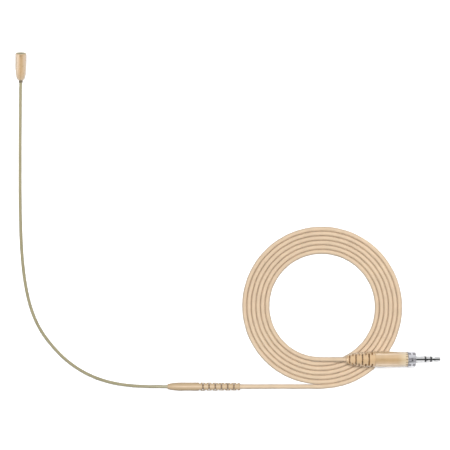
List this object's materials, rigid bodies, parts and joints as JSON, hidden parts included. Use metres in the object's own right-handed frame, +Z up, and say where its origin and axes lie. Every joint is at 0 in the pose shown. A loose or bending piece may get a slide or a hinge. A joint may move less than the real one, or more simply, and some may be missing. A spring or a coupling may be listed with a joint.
{
  "type": "headset boom microphone",
  "caption": "Small condenser capsule on a bendable boom, with a slotted strain relief, a thin coiled cable and a 3.5 mm jack plug with a locking nut.",
  "frame": {"origin": "on the table, under the middle of the box around boom, capsule and strain relief", "axes": "+Z up from the table it lies on, +Y along the straight part of the boom towards the capsule, +X along the strain relief towards the cable"},
  "size_m": [0.243, 0.1936, 0.0129],
  "materials": {
    "shell_beige": "satin moulded plastic",
    "relief_beige": "satin soft moulding",
    "cable_beige": "satin cable jacket",
    "boom_khaki": "satin paint",
    "collar_olive": "satin paint",
    "dark_mesh": "fine woven mesh",
    "black_felt": "acoustic cloth",
    "silver_nut": "satin nickel",
    "chrome_contact": "polished nickel",
    "element_aluminium": "drawn can",
    "brass": "turned",
    "black_insulator": "moulded",
    "black_rubber": "moulded",
    "white_insulator": "moulded",
    "green_board": "solder mask",
    "copper_wire": "enamelled wire"
  },
  "bodies": {
    "cable_body": {"relief_sleeve": "relief_beige", "boom_crimp": "brass", "splice_sleeve": "black_insulator", "cable_core": "copper_wire", "cable_end_relief": "cable_beige", "boom_tube_lower": "boom_khaki", "boom_lead_lower": "copper_wire", "cable_lead": "cable_beige", "cable_coil": "cable_beige", "cable_tail": "cable_beige", "plug_boot": "relief_beige", "cable_end_plug": "cable_beige", "plug_housing": "shell_beige", "plug_body": "brass", "nut_clip": "silver_nut", "cable_clamp": "brass", "tip_lug": "brass", "ring_lug": "brass", "plug_wire_tip": "copper_wire", "plug_wire_ring": "copper_wire", "plug_wire_screen": "copper_wire", "jack_sleeve": "chrome_contact", "rear_insulator": "black_insulator", "jack_ring": "chrome_contact", "front_insulator": "black_insulator", "jack_tip": "chrome_contact"},
    "boom_arm": {"boom_tube_middle": "boom_khaki", "boom_lead_middle": "copper_wire"},
    "boom_tip": {"boom_tube_upper": "boom_khaki", "boom_lead_upper": "copper_wire", "boom_collar": "collar_olive", "capsule_housing": "shell_beige", "front_grille": "dark_mesh", "damping_felt": "black_felt", "element_can": "element_aluminium", "diaphragm_ring": "brass", "diaphragm": "element_aluminium", "spacer_washer": "white_insulator", "backplate": "brass", "backplate_cup": "white_insulator", "element_board": "green_board", "amplifier_chip": "black_insulator", "element_gasket": "black_rubber", "boom_anchor_nut": "brass", "element_wire_live": "copper_wire", "element_wire_screen": "copper_wire"},
    "lock_nut": {"locking_nut": "silver_nut"}
  },
  "joints": [
    {"name": "boom_bend", "type": "hinge", "parent": "cable_body", "child": "boom_arm", "pos_m": [-0.04754, -0.06559, 0.00206], "axis": [0, 0, 1], "range_deg": [-30, 30]},
    {"name": "tip_bend", "type": "hinge", "parent": "boom_arm", "child": "boom_tip", "pos_m": [-0.06146, 0.05346, 0.00108], "axis": [0, 0, 1], "range_deg": [-40, 40]},
    {"name": "nut_spin", "type": "hinge", "parent": "cable_body", "child": "lock_nut", "pos_m": [0.16186, -0.07888, 0.00482], "axis": [0.9885, 0, -0.1513], "continuous": true}
  ]
}
